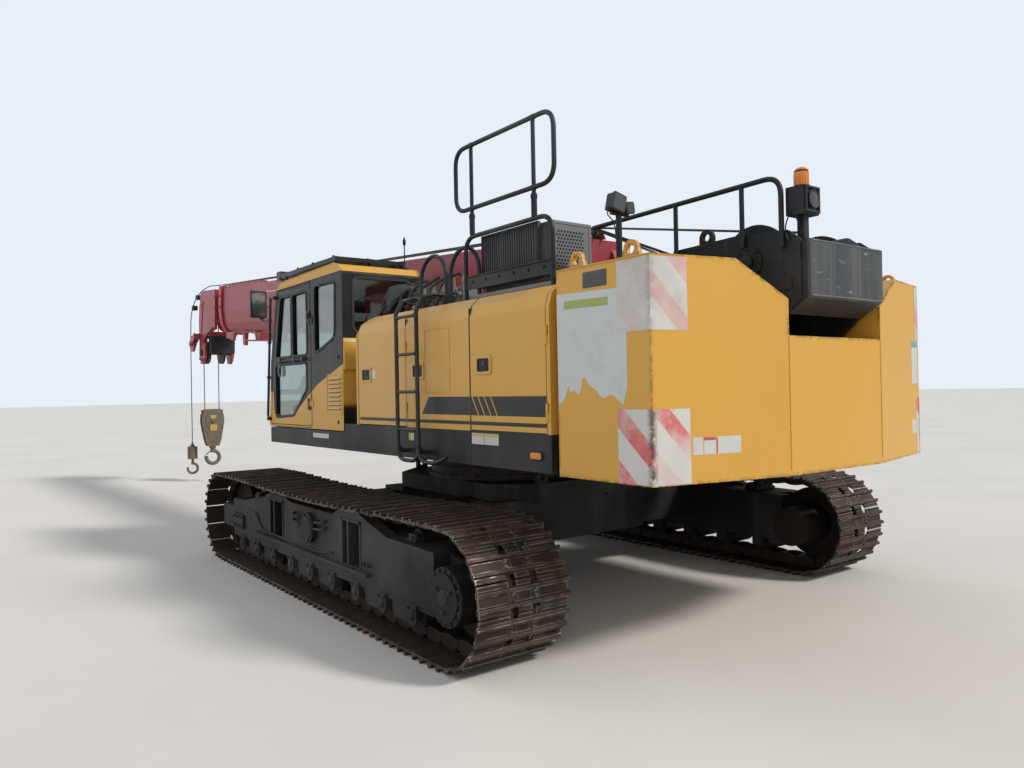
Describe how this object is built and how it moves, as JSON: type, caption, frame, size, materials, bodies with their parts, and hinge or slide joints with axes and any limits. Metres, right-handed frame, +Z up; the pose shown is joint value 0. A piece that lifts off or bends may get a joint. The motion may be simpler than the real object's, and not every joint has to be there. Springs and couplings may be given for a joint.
{
  "type": "telescopic crawler crane",
  "caption": "Crawler crane with telescopic boom, hook blocks, slewing upper with cab, hoods, rear winches and counterweight, on two wide tracks with a sliding gauge.",
  "frame": {"origin": "on the ground at the centre of the bounding box", "axes": "+X to the front along the boom, +Y to the left side with the cab, +Z up"},
  "size_m": [13.7389, 4.44, 3.7241],
  "materials": {
    "undercarriage_black": "worn satin black, dusty",
    "bearing_steel": "greasy",
    "track_steel": "rusty brown with worn bright edges",
    "roller_steel": "dark and greasy",
    "chassis_black": "satin",
    "body_yellow": "semi gloss, weathered",
    "engine_grey": "painted",
    "intake_grey": "matte",
    "winch_black": "satin",
    "rail_black": "satin",
    "window_glass": "clear",
    "door_black": "satin",
    "seat_fabric": "woven",
    "valve_grey": "matte",
    "cylinder_rod": "polished",
    "boom_red": "semi gloss, faded",
    "sheave_grey": "greasy",
    "rope_steel": "greased strands",
    "hook_grey": "weathered"
  },
  "bodies": {
    "carbody": {"carbody": "undercarriage_black", "slew_ring": "bearing_steel"},
    "track_frame_left": {"frame_left": "undercarriage_black", "track_left": "track_steel", "rollers_left": "roller_steel"},
    "track_frame_right": {"frame_right": "undercarriage_black", "track_right": "track_steel", "rollers_right": "roller_steel"},
    "upper": {"turntable": "chassis_black", "skirt": "chassis_black", "hood_frame": "body_yellow", "engine": "engine_grey", "radiator_box": "intake_grey", "counterweight": "body_yellow", "winch_frame": "winch_black", "cab_shell": "body_yellow", "cab_glass": "window_glass", "seat": "seat_fabric", "cab_trim": "rail_black", "ladder": "rail_black", "roof_rail": "rail_black", "tail_rail": "rail_black", "beacon": "rail_black", "side_mirror": "rail_black", "valve_bank": "valve_grey", "right_tank": "chassis_black"},
    "main_drum": {"main_drum": "winch_black"},
    "aux_drum": {"aux_drum": "winch_black"},
    "cab_door": {"cab_door": "door_black", "door_glass": "window_glass"},
    "hood_door_front_left": {"hood_door_front_left": "body_yellow"},
    "hood_door_rear_left": {"hood_door_rear_left": "body_yellow"},
    "hood_door_front_right": {"hood_door_front_right": "body_yellow"},
    "hood_door_rear_right": {"hood_door_rear_right": "body_yellow"},
    "luff_barrel": {"luff_barrel": "winch_black"},
    "luff_rod": {"luff_rod": "cylinder_rod"},
    "boom_base": {"boom_base": "boom_red"},
    "boom_second": {"boom_second": "boom_red"},
    "boom_third": {"boom_third": "boom_red"},
    "boom_head": {"boom_head": "boom_red"},
    "head_sheaves": {"head_sheaves": "sheave_grey"},
    "main_hang": {"main_falls": "rope_steel", "hook_block": "hook_grey"},
    "main_hook": {"main_hook": "hook_grey"},
    "aux_hang": {"aux_fall": "rope_steel", "aux_hook": "hook_grey"}
  },
  "joints": [
    {"name": "gauge_left", "type": "slide", "parent": "carbody", "child": "track_frame_left", "axis": [0, 1, 0], "range_m": [-0.6, 0]},
    {"name": "gauge_right", "type": "slide", "parent": "carbody", "child": "track_frame_right", "axis": [0, -1, 0], "range_m": [-0.6, 0]},
    {"name": "slew", "type": "hinge", "parent": "carbody", "child": "upper", "pos_m": [-3.24943, 0, 1], "axis": [0, 0, 1], "continuous": true},
    {"name": "main_drum_spin", "type": "hinge", "parent": "upper", "child": "main_drum", "pos_m": [-6.43943, 0, 2.5], "axis": [0, 1, 0], "continuous": true},
    {"name": "aux_drum_spin", "type": "hinge", "parent": "upper", "child": "aux_drum", "pos_m": [-5.98943, 0, 2.29], "axis": [0, 1, 0], "continuous": true},
    {"name": "cab_door_hinge", "type": "hinge", "parent": "upper", "child": "cab_door", "pos_m": [-1.88943, 1.506, 2], "axis": [0, 0, 1], "range_deg": [0, 90]},
    {"name": "hood_door_front_left_hinge", "type": "hinge", "parent": "upper", "child": "hood_door_front_left", "pos_m": [-3.84943, 1.502, 1.9], "axis": [0, 0, 1], "range_deg": [0, 90]},
    {"name": "hood_door_rear_left_hinge", "type": "hinge", "parent": "upper", "child": "hood_door_rear_left", "pos_m": [-5.66543, 1.502, 1.9], "axis": [0, 0, 1], "range_deg": [0, 90]},
    {"name": "hood_door_front_right_hinge", "type": "hinge", "parent": "upper", "child": "hood_door_front_right", "pos_m": [-3.84943, -1.502, 1.9], "axis": [0, 0, -1], "range_deg": [0, 90]},
    {"name": "hood_door_rear_right_hinge", "type": "hinge", "parent": "upper", "child": "hood_door_rear_right", "pos_m": [-5.66543, -1.502, 1.9], "axis": [0, 0, -1], "range_deg": [0, 90]},
    {"name": "luff", "type": "hinge", "parent": "upper", "child": "boom_base", "pos_m": [-4.74943, 0, 2.3], "axis": [0, -1, 0], "range_deg": [-0.5, 75]},
    {"name": "luff_barrel_hinge", "type": "hinge", "parent": "upper", "child": "luff_barrel", "pos_m": [-3.49943, 0, 1.56], "axis": [0, -1, 0], "range_deg": [-0.6, 78.6]},
    {"name": "luff_rod_slide", "type": "slide", "parent": "luff_barrel", "child": "luff_rod", "axis": [0.9753, 0, 0.2207], "range_m": [-0.02, 1.76]},
    {"name": "telescope", "type": "slide", "parent": "boom_base", "child": "boom_second", "axis": [0.9978, 0, 0.0663], "range_m": [0, 7.3]},
    {"name": "telescope_third", "type": "slide", "parent": "boom_second", "child": "boom_third", "axis": [0.9978, 0, 0.0663], "range_m": [0, 7.3]},
    {"name": "telescope_head", "type": "slide", "parent": "boom_third", "child": "boom_head", "axis": [0.9978, 0, 0.0663], "range_m": [0, 7.3]},
    {"name": "head_sheave_spin", "type": "hinge", "parent": "boom_head", "child": "head_sheaves", "pos_m": [6.30942, 0, 2.53343], "axis": [0, 1, 0], "continuous": true},
    {"name": "main_hang_hinge", "type": "hinge", "parent": "boom_head", "child": "main_hang", "pos_m": [6.30942, 0, 2.53343], "axis": [0, -1, 0], "range_deg": [-76, 1]},
    {"name": "main_hook_swivel", "type": "hinge", "parent": "main_hang", "child": "main_hook", "pos_m": [6.51942, 0.04, 0.65], "axis": [0, 0, 1], "continuous": true},
    {"name": "aux_hang_hinge", "type": "hinge", "parent": "boom_head", "child": "aux_hang", "pos_m": [6.62743, 0.355, 2.72492], "axis": [0, -1, 0], "range_deg": [-76, 1]}
  ],
  "couplings": [
    {"joint": "luff_barrel_hinge", "follows": "luff", "ratio": 1.0467},
    {"joint": "luff_rod_slide", "follows": "luff", "m_per_rad": 1.3406},
    {"joint": "telescope_third", "follows": "telescope", "ratio": 1},
    {"joint": "telescope_head", "follows": "telescope", "ratio": 1},
    {"joint": "main_hang_hinge", "follows": "luff", "ratio": -1},
    {"joint": "aux_hang_hinge", "follows": "luff", "ratio": -1}
  ]
}
